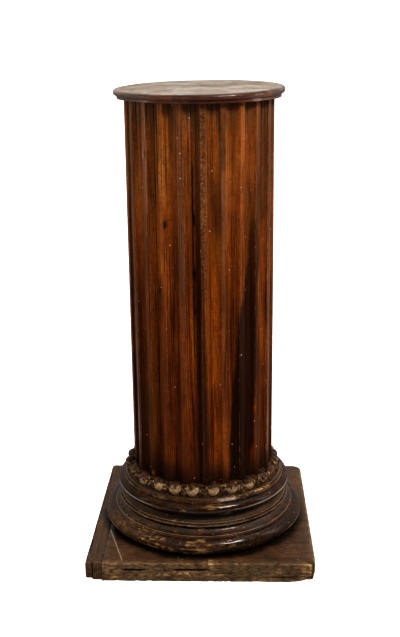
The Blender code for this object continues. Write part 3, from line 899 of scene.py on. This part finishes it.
def carvingFinish():
    material, tree, shader, place = startMaterial("rubbedCarving", Specular_IOR_Level=0.15)
    blotches = noise(tree, place, 150.0, 4.0, 0.72)
    fine = noise(tree, place, 620.0, 2.0, 0.6)
    dark = mixColors(tree, remap(tree, blotches, 0.38, 0.66), (0.016, 0.008, 0.004), (0.100, 0.050, 0.023))
    tan = mixColors(tree, remap(tree, fine, 0.36, 0.64), (0.130, 0.072, 0.034), (0.43, 0.305, 0.180))
    share = plus(tree, mask(tree, "rubbed"), times(tree, minus(tree, blotches, 0.5), 1.8))
    final = layered(tree, dark, (tan, remap(tree, share, 0.26, 0.74), 1.0),
                    ((0.016, 0.010, 0.007), mask(tree, "deep"), 0.6))
    relief = plus(tree, blotches, times(tree, fine, 0.4))
    joinShader(tree, shader, relief, 0.5, 0.0009, Base_Color=final,
               Roughness=remap(tree, blotches, 0.3, 0.7, 0.40, 0.65))
    return material


basePiece, ledgeHeight = baseSurface()
dress(basePiece, baseFinish(), "base_wood", "base_moulding")
carving = carvingFinish()
for piece in (eggBand(ledgeHeight), eggRow(ledgeHeight)):
    dress(piece, carving, "base_wood", "base_moulding")
print("base:", len(basePiece.data.polygons), "faces")


# Round top board

topBoard = {
    "radius": 0.1768, "fillet": 0.1694, "lipSwell": 0.0058, "thickness": 0.019, "filletHeight": 0.0065,
    "rows": 150, "columns": 400, "rounding": 0.0004,
    # The face rises to the right and towards the back, while the underside lies level
    "slope": (0.0100, 0.0165), "lift": 0.0013,
    # Cracks in the face: from, to, half width
    "cracks": (((-0.036, 0.021), (0.000, 0.031), 0.0020), ((0.000, 0.031), (0.050, 0.046), 0.0015),
               ((-0.084, -0.012), (-0.066, -0.020), 0.0012), ((-0.066, -0.078), (-0.054, -0.058), 0.0030)),
}


def topSurface():
    # A fillet, a half-round lip and a flat face, carried round the axis and then sloped
    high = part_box("top_board")[1][2]
    low = high - topBoard["thickness"]
    lipLow = low + topBoard["filletHeight"]
    fillet = topBoard["fillet"]
    lip = rollCurve(topBoard["radius"] - topBoard["lipSwell"], lipLow, topBoard["lipSwell"], high - lipLow)
    parts = [np.array([[0.0015, low], [fillet, low], [fillet, lipLow]]), lip, np.array([[0.0015, high]])]
    profile, normal, turning = smoothedProfile(parts, topBoard["rows"], topBoard["rounding"], 0.008)[:3]
    angle, u, v = gridRound(topBoard["rows"], topBoard["columns"])
    radius, z, turning = profile[:, :1], profile[:, 1:], turning[:, None]
    bruise = step(0.5, 0.95, softNoise(u, v, 110, 60, 62))
    push = (0.00022 * softNoise(u, v, 16, 4, 61) - 0.00022 - 0.0005 * bruise) * step(0.150, 0.168, radius)
    rings = turnedRound(angle, profile, normal, push)
    across, inward = topBoard["slope"]
    raised = topBoard["lift"] + across * rings[..., 0] + inward * rings[..., 1]
    rings[..., 2] += raised * unit((rings[..., 2] - low) / topBoard["thickness"])
    # The lip is grey with dust on the left and behind, and its upper part carries painted shade, less so on
    # the left
    face = step(0.96, 1.0, normal[:, 1:])
    gap = arcGap(angle, 0.0)[None, :]
    onLeft = step(20.0, 55.0, np.abs(gap - 12.0)) * step(-20.0, -32.0, gap)
    grey = np.maximum(onLeft, step(34.0, 74.0, np.abs(gap))) * (0.75 + 0.5 * softNoise(u, v, 30, 8, 64))
    shadow = step(0.58, 0.84, (z - low) / topBoard["thickness"]) * (1.0 - face) * step(-62.0, -30.0, gap)
    shadow = shadow * (0.80 + 0.20 * softNoise(u, v, 60, 9, 66))
    # A reddish stain along the rim behind on the left
    stain = hill(angle, -122.0, 42.0) * step(0.142, 0.166, radius + 0.006 * softNoise(u, v, 40, 9, 65))
    masks = {"face": face, "recess": unit(np.maximum(-turning / 500.0, 0.85 * shadow)), "grey": unit(grey),
             "edge": unit(turning / 700.0) * (0.6 + 0.4 * softNoise(u, v, 50, 20, 63)) * (1.0 - shadow),
             "rim": np.maximum(0.45 * step(0.164, 0.1715, radius), stain) * face}
    return closedRings("top_board_surface", rings, masks)


def crackMarks(tree, place):
    # Cracks that run along the grain, wandering
    sway = times(tree, minus(tree, noise(tree, place, 60.0, 4.0, 0.7), 0.5), 0.040)
    shift = addNode(tree, "CombineXYZ", {"Y": sway}).outputs[0]
    swayed = addNode(tree, "VectorMath", {0: place, 1: shift}, operation="ADD").outputs[0]
    apart = addNode(tree, "SeparateXYZ", {"Vector": swayed}).outputs
    split = 0.0
    for start, end, halfWidth in topBoard["cracks"]:
        split = larger(tree, split, stroke(tree, apart, start, end, halfWidth, 0.0018))
    return split


def topFinish():
    material, tree, shader, place = startMaterial("topBoardWood", Coat_Roughness=0.10, Coat_IOR=1.5,
                                                  Specular_IOR_Level=0.3)
    lying = turned(tree, place, 0.0, 90.0, 0.0)
    grain = useGroup(tree, grainGroup, Place=lying, Scale=48.0)
    clouds = noise(tree, place, 16.0, 5.0, 0.62, 0.4)
    fine = noise(tree, drawnOut(tree, lying, 0.35), 190.0, 5.0, 0.8)
    pale = colorRamp(tree, clouds, (0.34, 0.105, 0.080, 0.060), (0.5, 0.205, 0.174, 0.143),
                     (0.64, 0.300, 0.265, 0.225))
    stained = useGroup(tree, grimeGroup, Place=place, Scale=19.0, Amount=0.34)["Cover"]
    rimStain = times(tree, mask(tree, "rim"), remap(tree, clouds, 0.30, 0.55, 0.25, 0.75), clamp=True)
    split = times(tree, crackMarks(tree, place), remap(tree, fine, 0.36, 0.56, 0.45, 1.0))
    faceColor = layered(tree, pale,
                        ((0.12, 0.080, 0.058), grain["Streaks"], 0.26),
                        ((0.062, 0.040, 0.027), remap(tree, fine, 0.50, 0.60), 0.82),
                        ((0.40, 0.350, 0.290), grain["Fibres"], 0.22),
                        ((0.17, 0.085, 0.052), stained, 0.6),
                        ((0.115, 0.058, 0.042), rimStain, 1.0),
                        ((0.030, 0.020, 0.015), split, 0.85))
    glow = colorRamp(tree, clouds, (0.3, 0.026, 0.008, 0.004), (0.5, 0.066, 0.018, 0.006),
                     (0.68, 0.140, 0.042, 0.012))
    grime = useGroup(tree, grimeGroup, Place=place, Scale=40.0, Amount=0.45)["Cover"]
    greyDust = mixColors(tree, remap(tree, fine, 0.42, 0.58), (0.045, 0.030, 0.020), (0.115, 0.086, 0.062))
    edges = useGroup(tree, edgeGroup, Place=place, Edge=mask(tree, "edge"), Amount=0.80)["Rubbed"]
    worn = mixColors(tree, mask(tree, "grey"), (0.010, 0.004, 0.002), (0.26, 0.165, 0.105))
    final = layered(tree, glow,
                    ((0.022, 0.012, 0.008), grime, 0.5),
                    (greyDust, mask(tree, "grey"), remap(tree, grime, 0.0, 1.0, 0.55, 0.9)),
                    # The recess mask is painted shade, in the lip's inner corners and on its upper part below
                    # the face
                    ((0.010, 0.006, 0.004), mask(tree, "recess"), 0.9),
                    (worn, edges, 0.75),
                    (faceColor, mask(tree, "face"), 1.0))
    # The face is dull and bare, the lip glossy where it is neither grey nor dark
    dulled = larger(tree, mask(tree, "grey"), mask(tree, "recess"))
    rough = plus(tree, 0.24, times(tree, mask(tree, "face"), 0.38))
    rough = plus(tree, rough, times(tree, grime, 0.12), clamp=True)
    rough = plus(tree, rough, times(tree, dulled, 0.25), clamp=True)
    covered = larger(tree, mask(tree, "face"), times(tree, mask(tree, "grey"), 0.85))
    covered = larger(tree, covered, times(tree, mask(tree, "recess"), 0.80))
    relief = minus(tree, times(tree, grain["Fibres"], 0.4), times(tree, split, 2.0))
    joinShader(tree, shader, relief, 0.4, 0.0006, Base_Color=final, Roughness=rough,
               Coat_Weight=remap(tree, covered, 0.0, 1.0, 0.5, 0.02))
    return material


topPiece = topSurface()
dress(topPiece, topFinish(), "top_wood", "top_board")
print("top board:", len(topPiece.data.polygons), "faces")


# Plinth: a board and the cleat on its left

plinth = {
    "cleatWidth": 0.034, "clearance": 0.0003,
    "corners": (0.004, 0.018, 0.022, 0.008), "jointCorner": 0.001, "edge": 0.0028,
    "spacing": 0.0021, "sideRows": 20, "splitRows": 22, "faceRows": 9, "edgeRows": 5,
    "splitBand": (0.0160, 0.0305),      # between these heights the rows lie closer
    # Not quite square: wider in front than behind, and reaching a little further forward
    "widen": 0.0035, "taper": 0.0395, "forward": 0.012, "rightIn": 0.0065,
    # The front right corner's foot is worn away: how far round it, how high up, how much
    "wornCorner": (0.050, 0.020, 0.0058),
    # Splits along the front: middle x, half length, height, half width, depth
    "splits": ((-0.137, 0.029, 0.0264, 0.0018, 0.006), (-0.020, 0.044, 0.0268, 0.0020, 0.007),
               (0.044, 0.024, 0.0206, 0.0011, 0.002), (0.170, 0.040, 0.0120, 0.0009, 0.0015)),
    "cleatCrack": -0.2288,
    # A light scratch on the top, from the joint towards the front, and chips on the front arris
    "scratch": ((-0.2046, -0.1009), (-0.1657, -0.2306)), "chipped": (0.020, 0.020),
    # The two dry colours of the edges, dark and light
    "dryBoard": ((0.060, 0.036, 0.019), (0.210, 0.142, 0.084)),
    "dryCleat": ((0.030, 0.018, 0.010), (0.130, 0.085, 0.050)),
}
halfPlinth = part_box("plinth_board")[1][0]
jointX = -halfPlinth + plinth["cleatWidth"]


def boardOutline(lowX, highX, halfDepth, corners):
    # Straight sides and quarter circles, walked at an even spacing, counterclockwise from the front left
    places = ((lowX, -halfDepth, 1, 1), (highX, -halfDepth, -1, 1),
              (highX, halfDepth, -1, -1), (lowX, halfDepth, 1, -1))
    pieces = []
    for turn, ((x, y, inX, inY), radius) in enumerate(zip(places, corners)):
        angle = math.pi + math.pi / 2 * (turn + np.linspace(0.0, 1.0, 9))
        pieces.append(np.stack([x + inX * radius + radius * np.cos(angle),
                                y + inY * radius + radius * np.sin(angle)], axis=-1))
    line = np.concatenate(pieces + [pieces[0][:1]])
    length = walked(line)
    walk = np.linspace(0.0, length[-1], int(length[-1] / plinth["spacing"]), endpoint=False)
    return pointsAt(walk, length, line)


def boardRings(lowX, highX, corners):
    # The outline shrunk towards the middle on the two faces, with its arrises rounded by a quarter circle
    low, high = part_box("plinth_board")[0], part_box("plinth_board")[1]
    thickness = high[2] - low[2]
    outline = boardOutline(lowX, highX, high[1], corners)
    middle = np.array([(lowX + highX) / 2, 0.0])
    halfWidth = np.array([(highX - lowX) / 2, high[1]])
    away = outline - middle
    edge = plinth["edge"]
    quarter = np.linspace(0.0, math.pi / 2, plinth["edgeRows"] + 1)
    side = np.linspace(edge, thickness - edge, plinth["sideRows"] + 1)[1:-1]
    bandLow, bandHigh = plinth["splitBand"]
    side = side[(side < bandLow - 0.0003) | (side > bandHigh + 0.0003)]
    side = np.sort(np.concatenate([side, np.linspace(bandLow, bandHigh, plinth["splitRows"])]))
    inset = np.concatenate([edge * (1 - np.sin(quarter)), np.zeros(len(side)), edge * (1 - np.cos(quarter))])
    z = np.concatenate([edge * (1 - np.cos(quarter)), side, thickness - edge * (1 - np.sin(quarter))])
    # Along the joint between board and cleat the arris is nearly sharp
    atJoint = np.where(np.abs(outline[:, :1] - jointX) < 0.002, 0.15, 1.0)
    around = middle + away * (1 - inset[:, None, None] * atJoint / halfWidth)
    face = middle + away * np.linspace(0.02, 1.0, plinth["faceRows"], endpoint=False)[:, None, None] ** 0.7
    flat = np.concatenate([face, around, face[::-1]])
    heights = np.concatenate([np.zeros(len(face)), z, np.full(len(face), thickness)])
    return np.concatenate([flat, np.broadcast_to(heights[:, None, None], flat[..., :1].shape)], axis=-1)


def wearBoard(rings, halfSide):
    # Masks and dents worked out from each point's own place
    x, y, z = rings[..., 0], rings[..., 1], rings[..., 2]
    thickness = z.max()
    along = (x + halfSide) / (2 * halfSide)
    upward = z / thickness
    front = step(-halfSide + 0.004, -halfSide + 0.001, y)
    back = step(halfSide - 0.004, halfSide - 0.001, y)
    sides = step(halfSide - 0.004, halfSide - 0.001, np.abs(x))
    rim = unit(front + back + sides)
    outermost = step(halfSide - 0.009, halfSide - 0.002, np.maximum(np.abs(x), np.abs(y)))
    nearEdge = unit(bump(z, thickness, 0.004) + bump(z, 0.0, 0.005)) * outermost
    around = np.arctan2(y, x) / (2 * np.pi)
    ragged = softNoise(around, upward, 260, 6, 81)
    dent = 0.0016 * step(0.25, 0.8, ragged) * nearEdge
    dent = dent + 0.0005 * rim * step(0.3, 0.9, softNoise(around, upward, 190, 12, 82))
    dent = dent + 0.0010 * step(0.2, 0.9, softNoise(around, upward, 40, 2, 83)) * nearEdge
    # Splits, each tapering towards its ends and wandering a little
    split = np.zeros_like(x)
    wander = 0.0008 * softNoise(along, 0 * along, 40, 1, 84)
    for middle, halfLength, height, halfWidth, depth in plinth["splits"]:
        taper = 1 - step(0.55, 1.0, np.abs(x - middle) / halfLength)
        line = np.exp(-((z - height - wander) / halfWidth) ** 2) * taper * front
        split = np.maximum(split, line)
        dent = dent + depth * line
    torn = bump(x, -0.030, 0.130) * bump(z, 0.0190, 0.0075) * front
    torn = torn * step(-0.35, 0.35, softNoise(along, upward, 90, 14, 85))
    # Bare wood at the front right corner, along the lower edge and where the front arris is chipped
    corner = step(0.030, 0.008, np.hypot(x - halfSide + 0.008, y + halfSide - 0.008))
    corner = corner * step(0.2, 0.6, upward + 0.5 * ragged)
    lowerEdge = bump(z, 0.0, 0.010) * front * step(0.02, 0.16, x) * step(-0.3, 0.4, ragged)
    middle, half = plinth["chipped"]
    chipped = bump(x, middle, half) * step(-halfSide + 0.020, -halfSide + 0.004, y) * step(0.6, 0.95, upward)
    chipped = chipped * step(-0.5, 0.3, softNoise(along, upward + 10 * (y + halfSide), 130, 9, 86))
    # Paler near the joint, and a few light flecks on the right
    patchy = softNoise(along, upward, 120, 10, 87)
    pale = 0.42 * bump(x, -0.184, 0.026) * front * step(-0.6, 0.3, patchy)
    flecks = 0.6 * bump(x, 0.166, 0.018) * bump(z, 0.027, 0.009) * front * step(0.0, 0.5, patchy)
    bare = unit(torn + pale + flecks + 0.8 * corner * rim + 0.8 * lowerEdge + 0.9 * chipped)
    # The foot of the front right corner is worn away
    reach, high, amount = plinth["wornCorner"]
    footWear = step(reach, 0.2 * reach, np.hypot(x - halfSide, y + halfSide)) * step(high, 0.0, z)
    dent = dent + 0.0012 * torn + amount * footWear * rim
    inward = np.stack([-x * sides, -y * unit(front + back), 0 * z], axis=-1)
    length = np.maximum(np.linalg.norm(inward, axis=-1, keepdims=True), 1e-6)
    rings = rings + inward / length * dent[..., None]
    rings[..., 2] += 0.9 * amount * footWear
    rings[..., 0] *= 1 + plinth["widen"] - plinth["taper"] * y - plinth["rightIn"] * step(0.0, halfSide, x)
    rings[..., 1] *= 1 + plinth["forward"] * step(0.0, -halfSide, y)
    # The front arris on top is soft and dirty
    edge = nearEdge * (1 - 0.65 * front * step(0.5, 0.8, upward))
    return rings, {"edge": edge, "split": split, "bare": bare, "end": rim}


def crackCleat(rings, masks, halfSide):
    # The cleat's front end is cracked upright, and its foot is broken away on both sides of the crack
    x, y, z = rings[..., 0], rings[..., 1], rings[..., 2]
    place = plinth["cleatCrack"]
    nearFront = step(-halfSide + 0.030, -halfSide + 0.004, y)
    outer = step(place + 0.0008, place - 0.0008, x)
    crack = np.exp(-((x - place) / 0.0009) ** 2) * step(-halfSide + 0.006, -halfSide + 0.002, y)
    rings[..., 2] = z + nearFront * (0.0025 + 0.0040 * outer) * step(0.013, 0.0, z)
    rings[..., 1] = y + 0.004 * crack
    masks["split"] = np.maximum(masks["split"], crack)


def plinthFinish(name, grainTurn, grainScale, dryColors):
    material, tree, shader, place = startMaterial(name, Specular_IOR_Level=0.12)
    lying = turned(tree, place, *grainTurn)
    grain = useGroup(tree, grainGroup, Place=lying, Scale=grainScale)
    clouds = noise(tree, place, 17.0, 6.0, 0.66, 0.3)
    fine = noise(tree, drawnOut(tree, lying, 0.40), 210.0, 5.0, 0.8)
    splinters = noise(tree, drawnOut(tree, lying, 0.12), 300.0, 4.0, 0.65)
    brown = colorRamp(tree, clouds, (0.36, 0.008, 0.003, 0.0015), (0.47, 0.027, 0.010, 0.004),
                      (0.58, 0.060, 0.023, 0.008), (0.72, 0.130, 0.050, 0.016))
    # Dust lies in streaks along the grain, and the edges of the board are dry and pale
    grime = useGroup(tree, grimeGroup, Place=place, Scale=24.0, Amount=0.50)["Cover"]
    cover = times(tree, remap(tree, fine, 0.45, 0.60), remap(tree, grime, 0.0, 1.0, 0.10, 0.54))
    dry = mixColors(tree, remap(tree, fine, 0.34, 0.66), *dryColors)
    level = minus(tree, 1.0, mask(tree, "end"))
    # A black ring close to the lower roll: dirt, and painted contact shadow where the roll meets the board
    apart = addNode(tree, "SeparateXYZ", {"Vector": place}).outputs
    away = plus(tree, maths(tree, "POWER", apart["X"], 2.0), maths(tree, "POWER", apart["Y"], 2.0))
    away = plus(tree, maths(tree, "SQRT", away), times(tree, minus(tree, clouds, 0.5), 0.035))
    ringDirtAndShadow = times(tree, remap(tree, away, 0.220, 0.238, 0.93, 0.0), level)
    edges = useGroup(tree, edgeGroup, Place=place, Edge=mask(tree, "edge"), Amount=0.36)["Rubbed"]
    scratch = times(tree, stroke(tree, apart, *plinth["scratch"], 0.0004, 0.0012), 0.55)
    tan = mixColors(tree, remap(tree, splinters, 0.4, 0.62), (0.15, 0.070, 0.024), (0.58, 0.39, 0.19))
    bare = times(tree, mask(tree, "bare"), remap(tree, splinters, 0.38, 0.50), clamp=True)
    specks = useGroup(tree, speckGroup, Place=place, Scale=210.0, Share=0.02)["Specks"]
    final = layered(tree, brown,
                    ((0.016, 0.008, 0.004), grain["Streaks"], 0.55),
                    ((0.19, 0.110, 0.055), grain["Fibres"], 0.24),
                    ((0.120, 0.080, 0.046), cover, 1.0),
                    (dry, mask(tree, "end"), remap(tree, clouds, 0.34, 0.60, 0.25, 0.85)),
                    ((0.008, 0.005, 0.003), remap(tree, fine, 0.43, 0.33), 0.6),
                    ((0.008, 0.005, 0.003), ringDirtAndShadow, 1.0),
                    ((0.28, 0.175, 0.090), edges, 0.45),
                    ((0.36, 0.25, 0.15), scratch, level),
                    (tan, bare, 1.0),
                    ((0.004, 0.003, 0.002), mask(tree, "split"), 1.0),
                    ((0.42, 0.34, 0.22), specks, 0.7))
    rough = plus(tree, remap(tree, clouds, 0.3, 0.7, 0.42, 0.60), times(tree, bare, 0.2), clamp=True)
    relief = plus(tree, times(tree, grain["Fibres"], 0.6), times(tree, fine, 0.8))
    joinShader(tree, shader, relief, 0.45, 0.0007, Base_Color=final, Roughness=rough)
    return material


def makePlinthPiece(name, node, lowX, highX, corners, material, slot):
    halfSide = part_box("plinth_board")[1][0]
    rings, masks = wearBoard(boardRings(lowX, highX, corners), halfSide)
    if node == "plinth_cleat":
        crackCleat(rings, masks, halfSide)
    piece = closedRings(name, rings, masks)
    dress(piece, material, slot, node)
    return piece


frontLeft, frontRight, backRight, backLeft = plinth["corners"]
square = plinth["jointCorner"]
boardWood = plinthFinish("plinthBoardWood", (0.0, 90.0, 0.0), 46.0, plinth["dryBoard"])
boardPiece = makePlinthPiece("plinth_board_surface", "plinth_board", jointX + plinth["clearance"], halfPlinth,
                             (square, frontRight, backRight, square), boardWood, "plinth_wood")
cleatWood = plinthFinish("plinthCleatWood", (90.0, 0.0, 0.0), 60.0, plinth["dryCleat"])
cleatPiece = makePlinthPiece("plinth_cleat_surface", "plinth_cleat", -halfPlinth, jointX,
                             (frontLeft, square, square, backLeft), cleatWood, "cleat_wood")
print("plinth:", len(boardPiece.data.polygons) + len(cleatPiece.data.polygons), "faces")


# Studio

studio = {
    "eye": (0.0733, -2.1218, 1.1472), "pitch": 16.86, "heading": 2.17, "roll": -0.71,
    "lens": 57.29, "shiftX": 0.0026, "shiftY": 0.0013,
    # Soft boxes: angle from the front towards +X, height, distance, size across and up, power, colour
    "boxes": ((40.0, 2.40, 2.05, 1.0, 0.8, 74.0, (1.0, 0.95, 0.89)),
              (-30.0, 1.70, 2.6, 1.8, 1.8, 17.0, (1.0, 0.97, 0.94)),
              (-80.0, 1.10, 2.2, 0.6, 1.6, 15.0, (1.0, 0.97, 0.94)),
              (86.0, 1.10, 2.2, 0.6, 1.6, 9.0, (1.0, 0.97, 0.94))),
    "sun": 0.95, "sunSpread": 75.0, "behind": 1.00, "inFront": 0.03, "backdrop": 1.0,
}


def addCamera():
    camera = bpy.data.cameras.new("photoCamera")
    camera.sensor_fit = "AUTO"
    camera.sensor_width = 36.0
    camera.lens = studio["lens"]
    camera.shift_x = studio["shiftX"]
    camera.shift_y = studio["shiftY"]
    holder = bpy.data.objects.new("photoCamera", camera)
    bpy.context.scene.collection.objects.link(holder)
    holder.matrix_world = (Matrix.Translation(studio["eye"])
                           @ Matrix.Rotation(math.radians(studio["heading"]), 4, "Z")
                           @ Matrix.Rotation(math.radians(90.0 - studio["pitch"]), 4, "X")
                           @ Matrix.Rotation(math.radians(studio["roll"]), 4, "Z"))
    bpy.context.scene.camera = holder


def addSoftBox(name, place, target, width, height, power, color):
    light = bpy.data.lights.new(name, "AREA")
    light.shape = "RECTANGLE"
    light.size = width
    light.size_y = height
    light.energy = power
    light.color = color
    holder = bpy.data.objects.new(name, light)
    bpy.context.scene.collection.objects.link(holder)
    aim = Vector(target) - Vector(place)
    holder.matrix_world = Matrix.Translation(place) @ aim.to_track_quat("-Z", "Y").to_matrix().to_4x4()


def addStudio():
    for number, (angle, height, distance, width, tall, power, color) in enumerate(studio["boxes"]):
        turn = math.radians(angle)
        place = (distance * math.sin(turn), -distance * math.cos(turn), height)
        addSoftBox("softBox" + str(number), place, (0.0, 0.0, 0.5), width, tall, power, color)
    # Soft light from straight above, even over the whole floor
    sun = bpy.data.lights.new("overhead", "SUN")
    sun.energy = studio["sun"]
    sun.angle = math.radians(studio["sunSpread"])
    bpy.context.scene.collection.objects.link(bpy.data.objects.new("overhead", sun))
    floorMesh = bpy.data.meshes.new("floor")
    floorMesh.from_pydata([(-30, -30, 0), (30, -30, 0), (30, 30, 0), (-30, 30, 0)], [], [(0, 1, 2, 3)])
    floor = bpy.data.objects.new("floor", floorMesh)
    floor.location.z = -0.0005
    bpy.context.scene.collection.objects.link(floor)
    material, tree, shader, place = startMaterial("paleFloor", Roughness=0.7, Specular_IOR_Level=0.2)
    shader.inputs["Base Color"].default_value = (0.34, 0.34, 0.34, 1.0)
    # The paper itself glows a little for the camera, as in an overexposed studio shot
    shader.inputs["Emission Color"].default_value = (1.0, 1.0, 1.0, 1.0)
    seen = addNode(tree, "LightPath").outputs["Is Camera Ray"]
    tree.links.new(times(tree, seen, 0.85), shader.inputs["Emission Strength"])
    floorMesh.materials.append(material)
    world = bpy.data.worlds.new("studioWorld")
    world.use_nodes = True
    bpy.context.scene.world = world
    tree = world.node_tree
    background = tree.nodes["Background"]
    background.inputs["Color"].default_value = (1.0, 1.0, 1.0, 1.0)
    # White paper behind and around the object, a darker room in front of it
    seen = addNode(tree, "LightPath").outputs["Is Camera Ray"]
    facing = addNode(tree, "TexCoord").outputs["Generated"]
    ahead = addNode(tree, "SeparateXYZ", {"Vector": facing}).outputs["Y"]
    around = remap(tree, ahead, -0.35, 0.45, studio["inFront"], studio["behind"])
    lit = times(tree, around, minus(tree, 1.0, seen))
    strength = plus(tree, lit, times(tree, seen, studio["backdrop"]))
    tree.links.new(strength, background.inputs["Strength"])
    bpy.context.scene.view_settings.view_transform = "Standard"
    bpy.context.scene.view_settings.look = "High Contrast"


addCamera()
addStudio()
print("studio ready")
